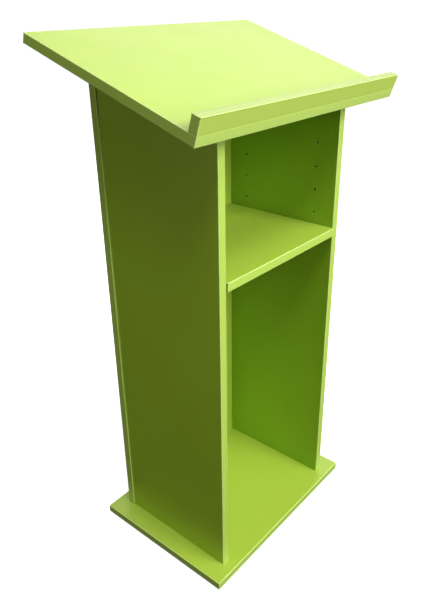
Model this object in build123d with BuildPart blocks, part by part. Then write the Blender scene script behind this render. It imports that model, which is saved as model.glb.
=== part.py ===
from build123d import *

import os
from math import cos, radians, sin, tan

# A presentation lectern in 18 mm melamine-faced board, edged with 2 mm ABS strip.
#
# Millimetres. +Z is up and z = 0 is the floor. The origin is under the centre of the base plate.
# The presenter stands on the open side, at -Y, and the audience is at +Y. +X is the presenter's
# right. Each piece is written to its own STEP file, named after the piece.

# Boards and edging
board = 18.0                    # thickness of every board
edging = 2.0                    # thickness of the edging strips
arris = 1.5                     # rounding along the outer corners of an edging strip

# Column: two side panels with the audience panel over their back edges
column_width = 396.0            # over both side panels
side_depth = 283.0              # side panels, from their front edge to the audience panel
audience_proud = 3.0            # how far the audience panel stands out past each side panel
side_front_height = 975.0       # top of the side panels' front edge, above the floor

# Base plate and glides
base_width = 484.0
base_depth = 354.0
base_front_overhang = 25.0      # in front of the side panels
glide_height = 3.0              # below the base plate
glide_radius = 11.0
glide_chamfer = 1.5
glide_inset = 35.0              # glide centres, in from the base plate's edges

# Sloping top board and book stop
slope = 18.0                    # degrees, rising towards the audience
top_width = 600.0
top_length = 400.0              # along the slope
front_overhang = 46.0           # along the slope, in front of the side panels
stop_height = 28.0              # above the top board

# Shelf and the rows of support holes
shelf_width = 358.0
shelf_depth = 286.0
shelf_proud = 4.0               # how far the shelf stands in front of the side panels
hole_rows = 5
hole_pitch = 50.0
lowest_row = 674.0              # height of the lowest row of holes, the one in use
hole_inset = 50.0               # front hole column, in from the side panels' front edges
hole_column_gap = 186.0         # between the two hole columns
hole_radius = 2.5
hole_depth = 11.0

# Shelf supports: a peg, a plate against the panel and a ledge under the shelf
peg_radius = 2.45
peg_length = 9.0
ledge_height = 6.0              # top of the ledge above the peg's axis
ledge_reach = 12.0
support_width = 14.0
support_drop = 16.0             # height of the plate
support_sheet = 1.6             # thickness of the plate, the ledge and the rib
running_gap = 0.1               # between a support and what it touches but can slide along

# Fasteners and fittings
base_screw_radius = 3.5
base_screw_length = 50.0
base_screw_head = 5.0           # radius of the countersunk head
head_recess = 0.5               # how deep a countersunk head sits below the surface
side_screw_places = (-110.0, -5.0, 100.0)
audience_screw_places = (-130.0, 0.0, 130.0)
dowel_radius = 4.0
dowel_length = 30.0
dowel_in_audience_panel = 11.0
dowel_heights = (110.0, 300.0, 490.0, 680.0, 870.0)
dowel_chamfer = 1.0
glue_room = 1.0                 # dowel holes are this much deeper than the dowel reaches
block = 18.0                    # corner blocks, height and width
block_length = 38.0
block_places = (91.0, 296.0)    # block centres, up the slope from the top board's low edge
block_bevel = 5.0
wood_screw_radius = 2.0
wood_screw_head = 4.0
wood_screw_length = 28.0
block_screw_head_height = 2.5
side_screw_offsets = (-12.0, 4.0)
top_screw_offsets = (-4.0, 12.0)
stop_screw_length = 38.0
stop_screw_places = (-240.0, -80.0, 80.0, 240.0)
nail_radius = 1.1
nail_length = 14.0
nail_head_radius = 3.0
nail_head_height = 1.0
nail_head_recess = 1.0

# Places that follow from the dimensions above
base_bottom = glide_height
base_top = base_bottom + board
column_front = base_front_overhang - base_depth / 2
column_back = column_front + side_depth + board
audience_front = column_front + side_depth
outer_half = column_width / 2
audience_half = outer_half + audience_proud
inner_half = outer_half - board
panel_centre = outer_half - board / 2
block_middle = inner_half - block / 2
shelf_front = column_front - shelf_proud
shelf_bottom = lowest_row + ledge_height + running_gap
hole_columns = (column_front + hole_inset, column_front + hole_inset + hole_column_gap)
row_heights = [lowest_row + hole_pitch * row for row in range(hole_rows)]
base_screw_points = [
    (side * panel_centre, y) for side in (-1, 1) for y in side_screw_places
] + [(x, audience_front + board / 2) for x in audience_screw_places]
side_screw_ups = [up + offset for up in block_places for offset in side_screw_offsets]
top_screw_ups = [up + offset for up in block_places for offset in top_screw_offsets]
glide_points = [
    (x * (base_width / 2 - glide_inset), y * (base_depth / 2 - glide_inset))
    for x in (-1, 1)
    for y in (-1, 1)
]

# The top board's own frame: X across, Y up the slope, Z out of the reading surface. Its origin is
# the middle of the top board's low bottom edge.
up_slope = Vector(0, cos(radians(slope)), sin(radians(slope)))
out_of_top = Vector(0, -sin(radians(slope)), cos(radians(slope)))
low_edge = Vector(0, column_front, side_front_height) - up_slope * front_overhang
top_frame = Plane(origin=low_edge, x_dir=(1, 0, 0), z_dir=out_of_top)

os.makedirs("parts", exist_ok=True)


def finish(piece, name):
    """Label a finished piece and write it."""
    piece.part.label = name
    export_step(piece.part, f"parts/{name}.step")


def under_top(y):
    """Height of the top board's underside at y."""
    return side_front_height + (y - column_front) * tan(radians(slope))


def upright(y_from, y_to):
    """Side outline of an upright board, from the base plate to the sloping top board."""
    return [(y_from, base_top), (y_to, base_top), (y_to, under_top(y_to)), (y_from, under_top(y_from))]


def turned(outline):
    """A round piece about Z, from its half outline of (radius, height) points."""
    with BuildPart() as piece:
        with BuildSketch(Plane.XZ):
            Polygon(*outline, align=None)
        revolve(axis=Axis.Z)
    return piece.part


def point_on_top(across, up, out=0.0):
    """A point in the top board's frame, as a place in the lectern."""
    return top_frame.from_local_coords(Vector(across, up, out))


def edge_plane(frame, across, up, out, x_dir, z_dir):
    """A plane on a board's edge, placed and turned in the board's own frame."""
    return Plane(
        origin=frame.from_local_coords(Vector(across, up, out)),
        x_dir=frame.x_dir * x_dir[0] + frame.y_dir * x_dir[1] + frame.z_dir * x_dir[2],
        z_dir=frame.x_dir * z_dir[0] + frame.y_dir * z_dir[1] + frame.z_dir * z_dir[2],
    )


def edging_strip(face, length, ends_show):
    """An edging strip on the board's edge at face, whose Z points outwards."""
    with BuildPart() as strip:
        with BuildSketch(face):
            Rectangle(length, board)
        extrude(amount=edging)
        outer = strip.faces().sort_by(lambda f: (f.center() - face.origin).dot(face.z_dir))[-1]
        rounded = outer.edges() if ends_show else outer.edges().filter_by(Axis(face.origin, face.x_dir))
        fillet(rounded, arris)
    return strip


def edge_all_round(name, frame, width, length):
    """Four strips round a flat board that starts at the frame's X axis and runs along its Y.

    The front and back strips run the full width and cover the ends of the side strips.
    """
    middle = board / 2
    low = edge_plane(frame, 0, edging, middle, (1, 0, 0), (0, -1, 0))
    high = edge_plane(frame, 0, length - edging, middle, (1, 0, 0), (0, 1, 0))
    left = edge_plane(frame, edging - width / 2, length / 2, middle, (0, 1, 0), (-1, 0, 0))
    right = edge_plane(frame, width / 2 - edging, length / 2, middle, (0, 1, 0), (1, 0, 0))
    finish(edging_strip(low, width, True), f"{name}_edging_front")
    finish(edging_strip(high, width, True), f"{name}_edging_back")
    finish(edging_strip(left, length - 2 * edging, False), f"{name}_edging_left")
    finish(edging_strip(right, length - 2 * edging, False), f"{name}_edging_right")


# Base plate, with countersunk holes for the screws and small ones for the glides' nails
base_screw_seats = [
    Plane(origin=(x, y, base_bottom + head_recess), z_dir=(0, 0, -1)) for x, y in base_screw_points
]
with BuildPart() as base_plate:
    with BuildSketch(Plane.XY.offset(base_bottom)):
        Rectangle(base_width - 2 * edging, base_depth - 2 * edging)
    extrude(amount=board)
    with Locations(*base_screw_seats):
        CounterSinkHole(base_screw_radius, base_screw_head, depth=board, counter_sink_angle=90)
    with BuildSketch(Plane.XY.offset(base_bottom)):
        with Locations(*glide_points):
            Circle(nail_radius)
    extrude(amount=nail_length, mode=Mode.SUBTRACT)
finish(base_plate, "base_plate")

base_frame = Plane(origin=(0, -base_depth / 2, base_bottom), z_dir=(0, 0, 1))
edge_all_round("base_plate", base_frame, base_width, base_depth)

# Side panels. The inner face has two columns of support holes.
inner_left = Plane.YZ.offset(-inner_half)
inner_left_on_slope = Plane(origin=low_edge - Vector(inner_half, 0, 0), x_dir=up_slope, z_dir=(1, 0, 0))
with BuildPart() as left_side_panel:
    with BuildSketch(Plane.YZ.offset(-outer_half)):
        Polygon(*upright(column_front + edging, audience_front), align=None)
    extrude(amount=board)
    with BuildSketch(inner_left):
        with Locations(*[(y, z) for y in hole_columns for z in row_heights]):
            Circle(hole_radius)
    extrude(amount=-hole_depth, mode=Mode.SUBTRACT)
    with BuildSketch(inner_left_on_slope):
        with Locations(*[(up, -block / 2) for up in side_screw_ups]):
            Circle(wood_screw_radius)
    extrude(amount=-(wood_screw_length - block), mode=Mode.SUBTRACT)
    with BuildSketch(Plane.XY.offset(base_top)):
        with Locations(*[(-panel_centre, y) for y in side_screw_places]):
            Circle(base_screw_radius)
    extrude(amount=base_screw_length - board + head_recess, mode=Mode.SUBTRACT)
    with BuildSketch(Plane.XZ.offset(-audience_front)):
        with Locations(*[(-panel_centre, z) for z in dowel_heights]):
            Circle(dowel_radius)
    extrude(amount=dowel_length - dowel_in_audience_panel + glue_room, mode=Mode.SUBTRACT)
finish(left_side_panel, "left_side_panel")

with BuildPart() as right_side_panel:
    mirror(left_side_panel.part, about=Plane.YZ)
finish(right_side_panel, "right_side_panel")

with BuildPart() as left_side_edging:
    with BuildSketch(Plane.YZ.offset(-outer_half)):
        Polygon(*upright(column_front, column_front + edging), align=None)
    extrude(amount=board)
    fillet(left_side_edging.edges().filter_by(Axis.Z).group_by(Axis.Y)[0], arris)
finish(left_side_edging, "left_side_panel_edging_front")

with BuildPart() as right_side_edging:
    mirror(left_side_edging.part, about=Plane.YZ)
finish(right_side_edging, "right_side_panel_edging_front")

# Audience panel
with BuildPart() as audience_panel:
    with BuildSketch(Plane.YZ.offset(edging - audience_half)):
        Polygon(*upright(audience_front, column_back), align=None)
    extrude(amount=2 * (audience_half - edging))
    with BuildSketch(Plane.XY.offset(base_top)):
        with Locations(*[(x, audience_front + board / 2) for x in audience_screw_places]):
            Circle(base_screw_radius)
    extrude(amount=base_screw_length - board + head_recess, mode=Mode.SUBTRACT)
    with BuildSketch(Plane.XZ.offset(-audience_front)):
        with Locations(*[(side * panel_centre, z) for side in (-1, 1) for z in dowel_heights]):
            Circle(dowel_radius)
    extrude(amount=-(dowel_in_audience_panel + glue_room), mode=Mode.SUBTRACT)
finish(audience_panel, "audience_panel")

with BuildPart() as audience_left_edging:
    with BuildSketch(Plane.YZ.offset(-audience_half)):
        Polygon(*upright(audience_front, column_back), align=None)
    extrude(amount=edging)
    fillet(audience_left_edging.edges().filter_by(Axis.Z).group_by(Axis.X)[0], arris)
finish(audience_left_edging, "audience_panel_edging_left")

with BuildPart() as audience_right_edging:
    mirror(audience_left_edging.part, about=Plane.YZ)
finish(audience_right_edging, "audience_panel_edging_right")

# Sloping top board, with countersunk holes from below for the book stop's screws
stop_screw_seats = [
    Plane(origin=point_on_top(x, board / 2, head_recess), z_dir=-out_of_top) for x in stop_screw_places
]
with BuildPart() as top_board:
    with BuildSketch(top_frame):
        with Locations((0, top_length / 2)):
            Rectangle(top_width - 2 * edging, top_length - 2 * edging)
    extrude(amount=board)
    with Locations(*stop_screw_seats):
        CounterSinkHole(wood_screw_radius, wood_screw_head, depth=board, counter_sink_angle=90)
    with BuildSketch(top_frame):
        with Locations(*[(side * block_middle, up) for side in (-1, 1) for up in top_screw_ups]):
            Circle(wood_screw_radius)
    extrude(amount=wood_screw_length - block, mode=Mode.SUBTRACT)
finish(top_board, "top_board")

edge_all_round("top_board", top_frame, top_width, top_length)

# Book stop: a strip of board standing on the low edge of the top board
stop_frame = Plane(origin=point_on_top(0, board / 2, board), x_dir=(1, 0, 0), z_dir=out_of_top)
stop_core_height = stop_height - edging
with BuildPart() as book_stop:
    with BuildSketch(stop_frame):
        Rectangle(top_width - 2 * edging, board)
    extrude(amount=stop_core_height)
    with BuildSketch(stop_frame):
        with Locations(*[(x, 0) for x in stop_screw_places]):
            Circle(wood_screw_radius)
    extrude(amount=stop_screw_length - board + head_recess, mode=Mode.SUBTRACT)
finish(book_stop, "book_stop")

stop_top = edge_plane(stop_frame, 0, 0, stop_core_height, (1, 0, 0), (0, 0, 1))
stop_end = top_width / 2 - edging
stop_left = edge_plane(stop_frame, -stop_end, 0, stop_core_height / 2, (0, 0, 1), (-1, 0, 0))
stop_right = edge_plane(stop_frame, stop_end, 0, stop_core_height / 2, (0, 0, 1), (1, 0, 0))
finish(edging_strip(stop_top, top_width, True), "book_stop_edging_top")
finish(edging_strip(stop_left, stop_core_height, False), "book_stop_edging_left")
finish(edging_strip(stop_right, stop_core_height, False), "book_stop_edging_right")

# Shelf, resting loose on its supports
shelf_frame = Plane(origin=(0, shelf_front, shelf_bottom), z_dir=(0, 0, 1))
with BuildPart() as shelf:
    with BuildSketch(shelf_frame):
        with Locations((0, shelf_depth / 2)):
            Rectangle(shelf_width - 2 * edging, shelf_depth - 2 * edging)
    extrude(amount=board)
finish(shelf, "shelf")

edge_all_round("shelf", shelf_frame, shelf_width, shelf_depth)

# Shelf supports. Each is made in the plane of a hole's mouth: X back, Y up, Z into the column.
for place, y in zip(("front", "back"), hole_columns):
    mouth = Plane(origin=(-inner_half, y, lowest_row), x_dir=(0, 1, 0), z_dir=(1, 0, 0))
    with BuildPart() as left_support:
        with BuildSketch(mouth.offset(running_gap)):
            with Locations((0, ledge_height)):
                Rectangle(support_width, support_drop, align=(Align.CENTER, Align.MAX))
        extrude(amount=support_sheet)
        with BuildSketch(mouth.offset(running_gap)):
            with Locations((0, ledge_height)):
                Rectangle(support_width, support_sheet, align=(Align.CENTER, Align.MAX))
        extrude(amount=ledge_reach)
        with BuildSketch(Plane.XZ.offset(-y)):
            Polygon(
                (running_gap - inner_half, lowest_row + ledge_height),
                (ledge_reach - inner_half, lowest_row + ledge_height - support_sheet),
                (running_gap - inner_half, lowest_row + ledge_height - ledge_reach),
                align=None,
            )
        extrude(amount=support_sheet / 2, both=True)
        with BuildSketch(mouth.offset(running_gap)):
            Circle(peg_radius)
        extrude(amount=-(peg_length + running_gap))
    finish(left_support, f"shelf_support_left_{place}")

    with BuildPart() as right_support:
        mirror(left_support.part, about=Plane.YZ)
    finish(right_support, f"shelf_support_right_{place}")

# Confirmat screws, up through the base plate
confirmat = turned(
    [
        (0, 0),
        (base_screw_head, 0),
        (base_screw_radius, base_screw_radius - base_screw_head),
        (base_screw_radius, base_screw_radius - base_screw_length),
        (0, -base_screw_length),
    ]
)
with BuildPart() as base_screws:
    with Locations(*base_screw_seats):
        add(confirmat)
finish(base_screws, "base_screws")

# Dowels between the side panels and the audience panel
with BuildPart() as audience_panel_dowels:
    with BuildSketch(Plane.XZ.offset(-(audience_front + dowel_in_audience_panel))):
        with Locations(*[(side * panel_centre, z) for side in (-1, 1) for z in dowel_heights]):
            Circle(dowel_radius)
    extrude(amount=dowel_length)
    chamfer(audience_panel_dowels.edges().filter_by(GeomType.CIRCLE), dowel_chamfer)
finish(audience_panel_dowels, "audience_panel_dowels")

# Corner blocks and their screws, under the top board. The left ones are made and then mirrored.
block_screw = turned(
    [
        (0, block_screw_head_height),
        (wood_screw_head / 2, block_screw_head_height),
        (wood_screw_head, 0),
        (wood_screw_radius, 0),
        (wood_screw_radius, wood_screw_radius - wood_screw_length),
        (0, -wood_screw_length),
    ]
)
for place, up in zip(("front", "back"), block_places):
    with BuildPart() as left_block:
        with BuildSketch(Plane(origin=point_on_top(-inner_half, up), x_dir=(1, 0, 0), z_dir=up_slope)):
            Polygon(
                (0, 0),
                (0, block),
                (block - block_bevel, block),
                (block, block - block_bevel),
                (block, 0),
                align=None,
            )
        extrude(amount=block_length / 2, both=True)
        with BuildSketch(inner_left_on_slope):
            with Locations(*[(up + offset, -block / 2) for offset in side_screw_offsets]):
                Circle(wood_screw_radius)
        extrude(amount=block, mode=Mode.SUBTRACT)
        with BuildSketch(top_frame):
            with Locations(*[(-block_middle, up + offset) for offset in top_screw_offsets]):
                Circle(wood_screw_radius)
        extrude(amount=-block, mode=Mode.SUBTRACT)
    finish(left_block, f"corner_block_left_{place}")

    with BuildPart() as right_block:
        mirror(left_block.part, about=Plane.YZ)
    finish(right_block, f"corner_block_right_{place}")

into_side = [
    Plane(origin=point_on_top(block - inner_half, up, -block / 2), z_dir=(1, 0, 0))
    for up in side_screw_ups
]
into_top = [
    Plane(origin=point_on_top(-block_middle, up, -block), z_dir=-out_of_top)
    for up in top_screw_ups
]
with BuildPart() as corner_block_screws:
    with Locations(*into_side, *into_top):
        add(block_screw)
    mirror(about=Plane.YZ)
finish(corner_block_screws, "corner_block_screws")

# Screws up through the top board into the book stop
stop_screw = turned(
    [
        (0, 0),
        (wood_screw_head, 0),
        (wood_screw_radius, wood_screw_radius - wood_screw_head),
        (wood_screw_radius, wood_screw_radius - stop_screw_length),
        (0, -stop_screw_length),
    ]
)
with BuildPart() as book_stop_screws:
    with Locations(*stop_screw_seats):
        add(stop_screw)
finish(book_stop_screws, "book_stop_screws")

# Glides: a plastic disc under each corner of the base plate, held by a nail through its middle
glide = turned(
    [
        (nail_radius, glide_height),
        (nail_radius, nail_head_recess + nail_head_height),
        (nail_head_radius, nail_head_recess + nail_head_height),
        (nail_head_radius, 0),
        (glide_radius - glide_chamfer, 0),
        (glide_radius, glide_chamfer),
        (glide_radius, glide_height),
    ]
)
with BuildPart() as glides:
    with Locations(*glide_points):
        add(glide)
finish(glides, "glides")

nail = turned(
    [
        (0, nail_head_recess),
        (nail_head_radius, nail_head_recess),
        (nail_head_radius, nail_head_recess + nail_head_height),
        (nail_radius, nail_head_recess + nail_head_height),
        (nail_radius, glide_height + nail_length - nail_radius),
        (0, glide_height + nail_length),
    ]
)
with BuildPart() as glide_nails:
    with Locations(*glide_points):
        add(nail)
finish(glide_nails, "glide_nails")
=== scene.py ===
from math import cos, pi, radians, sin

import bmesh
import bpy
from mathutils import Euler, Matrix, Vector

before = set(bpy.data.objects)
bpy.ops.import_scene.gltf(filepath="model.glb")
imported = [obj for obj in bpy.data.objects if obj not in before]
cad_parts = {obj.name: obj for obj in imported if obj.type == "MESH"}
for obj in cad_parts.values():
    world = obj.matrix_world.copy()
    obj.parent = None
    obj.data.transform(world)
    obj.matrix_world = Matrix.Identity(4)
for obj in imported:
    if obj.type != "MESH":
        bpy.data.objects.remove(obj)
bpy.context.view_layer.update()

# Looks for the lectern: lime melamine board with ABS edging, a few steel, plastic and beech
# fittings, and a plain white studio. Metres, in the CAD frame: +Z up, the presenter at -Y.

MM = 0.001
X, Y, Z = (1, 0, 0), (0, 1, 0), (0, 0, 1)
SLOPE = radians(18)                     # of the top board, rising towards the audience
UP_SLOPE = (0, cos(SLOPE), sin(SLOPE))
OUT_OF_TOP = (0, -sin(SLOPE), cos(SLOPE))

LIME = (0.288, 0.462, 0.020)            # melamine facing of the left side panel
LIME_PAINTED_SHADE = (0.258, 0.450, 0.016)       # the same melamine, darkened as painted shade, for the right side panel
LIME_PAINTED_LIGHT = (0.338, 0.492, 0.046)       # the same melamine, paler as painted light, for the flat boards and the audience panel
LIME_PAINTED_SHEEN = (0.372, 0.515, 0.085)     # the same melamine, paler still as painted sheen, for the book stop
LIME_EDGE = (0.378, 0.555, 0.088)       # ABS edging, a little paler than the facing
LIME_HIGHLIGHT_AND_WEAR = (0.62, 0.76, 0.32)          # edging's rounded corners, paler: painted highlight, uneven like wear
DUST = (0.80, 0.82, 0.66)
CHIPBOARD = (0.36, 0.27, 0.14)
CHIP_DARK = (0.16, 0.11, 0.05)
CHIP_LIGHT = (0.55, 0.44, 0.27)
COATING_IOR = 1.6                       # melamine and ABS


# ---------------------------------------------------------------- node helpers

def rgba(color):
    return (*color, 1.0)


class Material:
    """A node material, with short calls to add nodes and join them."""

    def __init__(self, name, color, roughness, metallic=0.0):
        self.data = bpy.data.materials.new(name)
        self.data.use_nodes = True
        self.data.diffuse_color = rgba(color)
        self.tree = self.data.node_tree
        self.shader = self.tree.nodes["Principled BSDF"]
        self.set("Base Color", rgba(color))
        self.set("Roughness", roughness)
        self.set("Metallic", metallic)
        self.place = self.add("ShaderNodeTexCoord").outputs["Object"]

    def add(self, kind, **settings):
        node = self.tree.nodes.new(kind)
        for key, value in settings.items():
            setattr(node, key, value)
        return node

    def feed(self, socket, value):
        """Join an output to a socket, or set the socket's own value."""
        if isinstance(value, bpy.types.NodeSocket):
            self.tree.links.new(value, socket)
        else:
            socket.default_value = value

    def set(self, name, value):
        self.feed(self.shader.inputs[name], value)

    def stretched(self, stretch):
        node = self.add("ShaderNodeMapping")
        node.inputs["Scale"].default_value = stretch
        self.feed(node.inputs["Vector"], self.place)
        return node.outputs["Vector"]

    def noise(self, size, detail=2.0, roughness=0.5, stretch=(1, 1, 1), distortion=0.0):
        """Noise whose lumps are about size metres across, 0 to 1."""
        node = self.add("ShaderNodeTexNoise")
        self.feed(node.inputs["Vector"], self.stretched(stretch))
        node.inputs["Scale"].default_value = 1 / size
        node.inputs["Detail"].default_value = detail
        node.inputs["Roughness"].default_value = roughness
        node.inputs["Distortion"].default_value = distortion
        return node.outputs["Fac"]

    def specks(self, spacing):
        """Distance to the nearest of many points about spacing metres apart: 1 is one spacing."""
        node = self.add("ShaderNodeTexVoronoi")
        self.feed(node.inputs["Vector"], self.place)
        node.inputs["Scale"].default_value = 1 / spacing
        return node.outputs["Distance"]

    def ramp(self, value, low, high, start=0.0, end=1.0):
        """Map low..high to start..end, clamped."""
        node = self.add("ShaderNodeMapRange", clamp=True)
        self.feed(node.inputs["Value"], value)
        self.feed(node.inputs["From Min"], low)
        self.feed(node.inputs["From Max"], high)
        self.feed(node.inputs["To Min"], start)
        self.feed(node.inputs["To Max"], end)
        return node.outputs["Result"]

    def math(self, operation, a, b=0.0):
        node = self.add("ShaderNodeMath", operation=operation)
        self.feed(node.inputs[0], a)
        self.feed(node.inputs[1], b)
        return node.outputs["Value"]

    def mix(self, factor, a, b):
        node = self.add("ShaderNodeMix", data_type="RGBA")
        self.feed(node.inputs["Factor"], factor)
        for name, value in (("A", a), ("B", b)):
            socket = next(s for s in node.inputs if s.name == name and s.type == "RGBA")
            self.feed(socket, rgba(value) if isinstance(value, tuple) else value)
        return next(s for s in node.outputs if s.type == "RGBA")

    def bump(self, height, depth, after=None):
        """A bump whose full height is depth metres."""
        node = self.add("ShaderNodeBump")
        node.inputs["Strength"].default_value = 1.0
        node.inputs["Distance"].default_value = depth
        self.feed(node.inputs["Height"], height)
        if after is not None:
            self.feed(node.inputs["Normal"], after)
        return node.outputs["Normal"]

    def facing(self, axis):
        """How squarely the surface faces along axis, an object direction: 1 if square, 0 if side on."""
        normal = self.add("ShaderNodeNewGeometry").outputs["True Normal"]
        turn = self.add("ShaderNodeVectorTransform", vector_type="NORMAL")
        turn.convert_from = "WORLD"
        turn.convert_to = "OBJECT"
        self.feed(turn.inputs["Vector"], normal)
        dot = self.add("ShaderNodeVectorMath", operation="DOT_PRODUCT")
        self.feed(dot.inputs[0], turn.outputs["Vector"])
        dot.inputs[1].default_value = axis
        return self.math("ABSOLUTE", dot.outputs["Value"])


# ---------------------------------------------------------------- materials

def scaled(color, factor):
    return tuple(factor * channel for channel in color)


def melamine_board(name, axis, color):
    """Lime melamine on both faces, square to axis, and raw particle board on cut edges and in holes."""
    m = Material(name, color, 0.36)
    face = m.ramp(m.facing(axis), 0.90, 0.98)

    # The facing: fine pearl flecks, broad pale clouds and a few specks of dust
    fleck = m.ramp(m.noise(0.9 * MM), 0.45, 0.72)
    cloud = m.noise(220 * MM, detail=3)
    lime = m.mix(m.math("MULTIPLY", fleck, 0.55), color, scaled(color, 1.10))
    lime = m.mix(m.ramp(cloud, 0.35, 0.65, 0.0, 0.5), lime, scaled(color, 0.94))
    dust = m.ramp(m.specks(47 * MM), 0.012, 0.006)
    lime = m.mix(m.math("MULTIPLY", dust, 0.5), lime, DUST)

    # The core: dark, middling and light chips
    chips = m.noise(1.6 * MM, detail=4, roughness=0.65, distortion=0.4)
    raw = m.mix(m.ramp(chips, 0.35, 0.52), CHIP_DARK, CHIPBOARD)
    raw = m.mix(m.ramp(chips, 0.52, 0.70), raw, CHIP_LIGHT)
    m.set("Base Color", m.mix(face, raw, lime))

    # Hand smears change the facing's gloss. The core is dull.
    smear = m.noise(75 * MM, detail=4, roughness=0.6, distortion=0.8)
    gloss = m.ramp(smear, 0.35, 0.68, 0.35, 0.40)
    grain = m.ramp(m.noise(0.7 * MM), 0.3, 0.7, -0.025, 0.025)
    facing_roughness = m.math("ADD", gloss, grain)
    m.set("Roughness", m.ramp(face, 0.0, 1.0, 0.9, facing_roughness))

    pearl = m.bump(m.noise(0.8 * MM, detail=1), 0.012 * MM)
    core = m.ramp(face, 0.0, 1.0, 1.0, 0.0)
    m.set("Normal", m.bump(m.math("MULTIPLY", chips, core), 0.35 * MM, pearl))
    m.set("IOR", COATING_IOR)
    return m.data


def abs_edging(name, along, color=LIME_EDGE):
    """ABS strip: fine streaks along its length, and rounded corners painted paler as a highlight, uneven like
    wear.
    """
    m = Material(name, color, 0.32)
    streaks = tuple(0.02 if component else 1.0 for component in along)
    streak = m.noise(0.5 * MM, stretch=streaks)
    patch = m.noise(60 * MM, detail=3, stretch=streaks)
    lime = m.mix(m.ramp(streak, 0.35, 0.7), scaled(color, 0.96), scaled(color, 1.05))
    lime = m.mix(m.ramp(patch, 0.4, 0.62, 0.0, 0.5), lime, scaled(color, 0.93))

    # Painted highlight: every rounded corner is mixed towards a paler lime, by an uneven amount like wear.
    upright_or_level = m.math("MAXIMUM", m.facing(Y), m.facing(Z))
    squareness = m.math("MAXIMUM", m.facing(X), upright_or_level)
    corner = m.ramp(squareness, 0.97, 0.88)
    highlight_and_wear = m.ramp(m.noise(5 * MM, detail=3), 0.35, 0.65, 0.45, 0.85)
    m.set("Base Color", m.mix(m.math("MULTIPLY", corner, highlight_and_wear), lime, LIME_HIGHLIGHT_AND_WEAR))

    gloss = m.noise(18 * MM, detail=4, stretch=streaks)
    m.set("Roughness", m.ramp(gloss, 0.3, 0.7, 0.27, 0.38))
    waves = m.bump(m.noise(7 * MM, stretch=streaks), 0.02 * MM)
    m.set("Normal", m.bump(streak, 0.010 * MM, waves))
    m.set("IOR", COATING_IOR)
    return m.data


def zinc_steel(name):
    """Bright zinc plate, in faint blue and yellow tints, with a fine grain."""
    m = Material(name, (0.66, 0.66, 0.67), 0.28, metallic=1.0)
    bloom = m.noise(3 * MM, detail=4)
    m.set("Base Color", m.mix(m.ramp(bloom, 0.35, 0.65), (0.60, 0.61, 0.64), (0.74, 0.73, 0.70)))
    m.set("Roughness", m.ramp(m.noise(0.8 * MM, detail=3), 0.3, 0.7, 0.22, 0.40))
    m.set("Normal", m.bump(m.noise(0.35 * MM, stretch=(1, 1, 4)), 0.006 * MM))
    return m.data


def moulded_nylon(name):
    """Off-white nylon with a fine moulded texture."""
    m = Material(name, (0.80, 0.79, 0.75), 0.45)
    haze = m.noise(9 * MM, detail=3)
    m.set("Base Color", m.mix(m.ramp(haze, 0.35, 0.65), (0.76, 0.75, 0.70), (0.83, 0.82, 0.78)))
    m.set("Roughness", m.ramp(m.noise(2 * MM, detail=3), 0.3, 0.7, 0.38, 0.52))
    m.set("Normal", m.bump(m.noise(0.3 * MM), 0.012 * MM))
    return m.data


def black_glide(name):
    """Black polyethylene, scuffed grey by the floor."""
    m = Material(name, (0.035, 0.035, 0.036), 0.5)
    black = (0.030, 0.030, 0.031)
    grey = (0.16, 0.155, 0.145)
    scuff = m.ramp(m.noise(1.2 * MM, detail=5, roughness=0.7, stretch=(1, 5, 1)), 0.5, 0.68)
    m.set("Base Color", m.mix(m.math("MULTIPLY", scuff, 0.6), black, grey))
    m.set("Roughness", m.ramp(scuff, 0.0, 1.0, 0.42, 0.75))
    m.set("Normal", m.bump(scuff, 0.03 * MM))
    return m.data


def beech(name):
    """Beech with its grain along Y and short dark rays."""
    m = Material(name, (0.60, 0.42, 0.25), 0.55)
    grain = m.noise(0.9 * MM, detail=4, stretch=(1, 0.06, 1))
    rays = m.ramp(m.noise(1.4 * MM, detail=2, stretch=(1, 0.3, 1)), 0.60, 0.68)
    wood = m.mix(m.ramp(grain, 0.35, 0.65), (0.52, 0.34, 0.19), (0.68, 0.49, 0.31))
    m.set("Base Color", m.mix(m.math("MULTIPLY", rays, 0.5), wood, (0.40, 0.24, 0.12)))
    m.set("Roughness", m.ramp(grain, 0.3, 0.7, 0.48, 0.62))
    m.set("Normal", m.bump(grain, 0.05 * MM))
    return m.data


def set_material(name, material):
    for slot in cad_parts[name].material_slots:
        slot.material = material


# Painted light and shade: all boards share one melamine, but each takes a lime lightened or darkened for how
# it is lit.
boards = {
    "base_plate": (Z, LIME_PAINTED_LIGHT),
    "left_side_panel": (X, LIME),
    "right_side_panel": (X, LIME_PAINTED_SHADE),
    "audience_panel": (Y, LIME_PAINTED_LIGHT),
    "top_board": (OUT_OF_TOP, LIME_PAINTED_LIGHT),
    "book_stop": (UP_SLOPE, LIME_PAINTED_SHEEN),
    "shelf": (Z, LIME_PAINTED_LIGHT),
}
for name, (axis, color) in boards.items():
    set_material(name, melamine_board(f"lime_{name}", axis, color))

across = abs_edging("edging_across", X)
back_and_forth = abs_edging("edging_back_and_forth", Y)
upright = abs_edging("edging_upright", Z)
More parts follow.
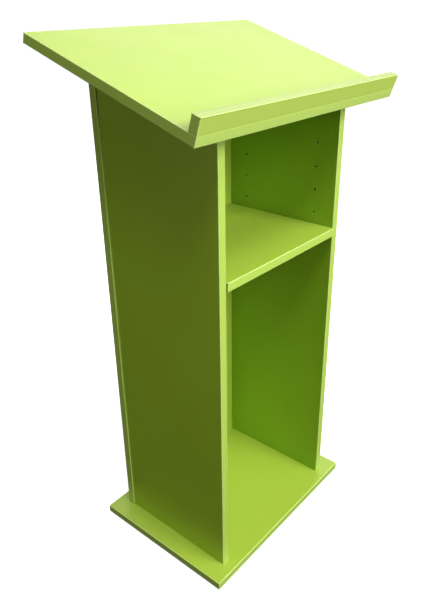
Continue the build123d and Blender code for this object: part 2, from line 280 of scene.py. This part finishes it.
# Painted shade: the book stop's top edging takes a darker copy of the pale lime than the other edging.
painted_shade_stop_top = abs_edging("edging_stop_top_painted_shade", X, scaled(LIME_PAINTED_LIGHT, 0.74))
steel = zinc_steel("zinc_steel")
nylon = moulded_nylon("nylon")
upright_pieces = ("left_side", "right_side", "audience", "book_stop_edging_left", "book_stop_edging_right")
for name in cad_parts:
    if "_edging_" in name:
        if name.startswith(upright_pieces):
            set_material(name, upright)
        elif name.endswith(("front", "back", "top")):
            set_material(name, across)
        else:
            set_material(name, back_and_forth)
    elif "screws" in name or "nails" in name or "support" in name:
        set_material(name, steel)
    elif name.startswith("corner_block"):
        set_material(name, nylon)
set_material("book_stop_edging_top", painted_shade_stop_top)
set_material("glides", black_glide("glide_black"))
set_material("audience_panel_dowels", beech("beech"))

# ---------------------------------------------------------------- camera

# At the presenter's left, looking down on the sloping top
camera = bpy.data.objects.new("camera", bpy.data.cameras.new("camera"))
camera.location = (-0.9288, -0.7770, 1.1562)
camera.rotation_euler = Euler((radians(64.725), radians(0.407), radians(-50.422)), "XYZ")
camera.data.sensor_width = 36.0
camera.data.lens = 36.95
camera.data.shift_x = -0.0227
camera.data.shift_y = -0.0261
bpy.context.scene.collection.objects.link(camera)
bpy.context.scene.camera = camera


# ---------------------------------------------------------------- studio

def studio():
    """A white floor that curves up into a wall all the way round, far from the lectern."""
    floor_radius = 12.0
    cove = 2.0
    wall_height = 40.0
    bend_steps = 8
    turn_steps = 48
    profile = [(0.0, 0.0), (2.0, 0.0), (6.0, 0.0)]
    for step in range(bend_steps + 1):
        angle = pi / 2 * step / bend_steps
        profile.append((floor_radius + cove * sin(angle), cove - cove * cos(angle)))
    profile.append((floor_radius + cove, wall_height))
    mesh = bmesh.new()
    points = [mesh.verts.new((radius, 0, height)) for radius, height in profile]
    edges = [mesh.edges.new(pair) for pair in zip(points, points[1:])]
    outline = points + edges
    bmesh.ops.spin(mesh, geom=outline, angle=2 * pi, steps=turn_steps, axis=Z, cent=(0, 0, 0), use_merge=True)
    bmesh.ops.remove_doubles(mesh, verts=mesh.verts, dist=0.01 * MM)
    bmesh.ops.recalc_face_normals(mesh, faces=mesh.faces)
    for face in mesh.faces:
        face.smooth = True
    data = bpy.data.meshes.new("studio")
    mesh.to_mesh(data)
    mesh.free()

    # The white glows, brighter further from the lectern, and lights nothing: it reads as white
    # all over while the lectern's shaded faces stay dark.
    m = Material("studio_white", (0.82, 0.82, 0.82), 0.9)
    m.set("Base Color", m.mix(m.noise(400 * MM), (0.80, 0.80, 0.80), (0.84, 0.84, 0.84)))
    m.set("Emission Color", rgba((1.0, 1.0, 1.0)))
    away = m.add("ShaderNodeVectorMath", operation="LENGTH")
    m.feed(away.inputs[0], m.place)
    m.set("Emission Strength", m.ramp(away.outputs["Value"], 1.0, 6.0, 0.72, 1.0))
    data.materials.append(m.data)

    room = bpy.data.objects.new("studio", data)
    room.visible_diffuse = False
    room.visible_glossy = False
    room.visible_shadow = False
    bpy.context.scene.collection.objects.link(room)


def softbox(name, azimuth, height, distance, size, power, color=(1.0, 1.0, 1.0)):
    """A flat lamp, size wide and high, that faces the column and that the camera doesn't see.

    Azimuth 0 is in front, at -Y, and 90 at +X. Height is in degrees too, power in watts.
    """
    aim = Vector((0, 0, 0.8))
    turn, tilt = radians(azimuth), radians(height)
    away = Vector((sin(turn) * cos(tilt), -cos(turn) * cos(tilt), sin(tilt)))
    light = bpy.data.objects.new(name, bpy.data.lights.new(name, "AREA"))
    light.data.shape = "RECTANGLE"
    light.data.size, light.data.size_y = size
    light.data.energy = power
    light.data.color = color
    light.location = aim + away * distance
    light.rotation_euler = away.to_track_quat("Z", "Y").to_euler()
    light.visible_camera = False
    bpy.context.scene.collection.objects.link(light)


studio()
softbox("front", 3, 34, 3.2, (1.7, 1.2), 106, (1.0, 0.96, 0.97))
softbox("front_low", 4, 8, 4.0, (2.6, 1.2), 90, (1.0, 0.95, 0.97))
softbox("upper_left", -40, 60, 4.0, (1.5, 1.5), 70)
softbox("upper_right", 35, 52, 4.0, (1.5, 1.5), 36)
softbox("left", -100, 4, 4.0, (1.6, 1.6), 28, (1.0, 0.91, 0.70))
softbox("right", 122, 29, 4.0, (3.0, 3.0), 50, (1.0, 0.98, 0.88))
softbox("behind", 180, 40, 4.0, (2.0, 2.0), 38)

# A faint even light fills the deepest shade.
world = bpy.data.worlds.new("studio")
world.use_nodes = True
background = world.node_tree.nodes["Background"]
background.inputs["Color"].default_value = (1, 1, 1, 1)
background.inputs["Strength"].default_value = 0.02
bpy.context.scene.world = world

# The default view transform would dull the lime.
bpy.context.scene.view_settings.view_transform = "Standard"
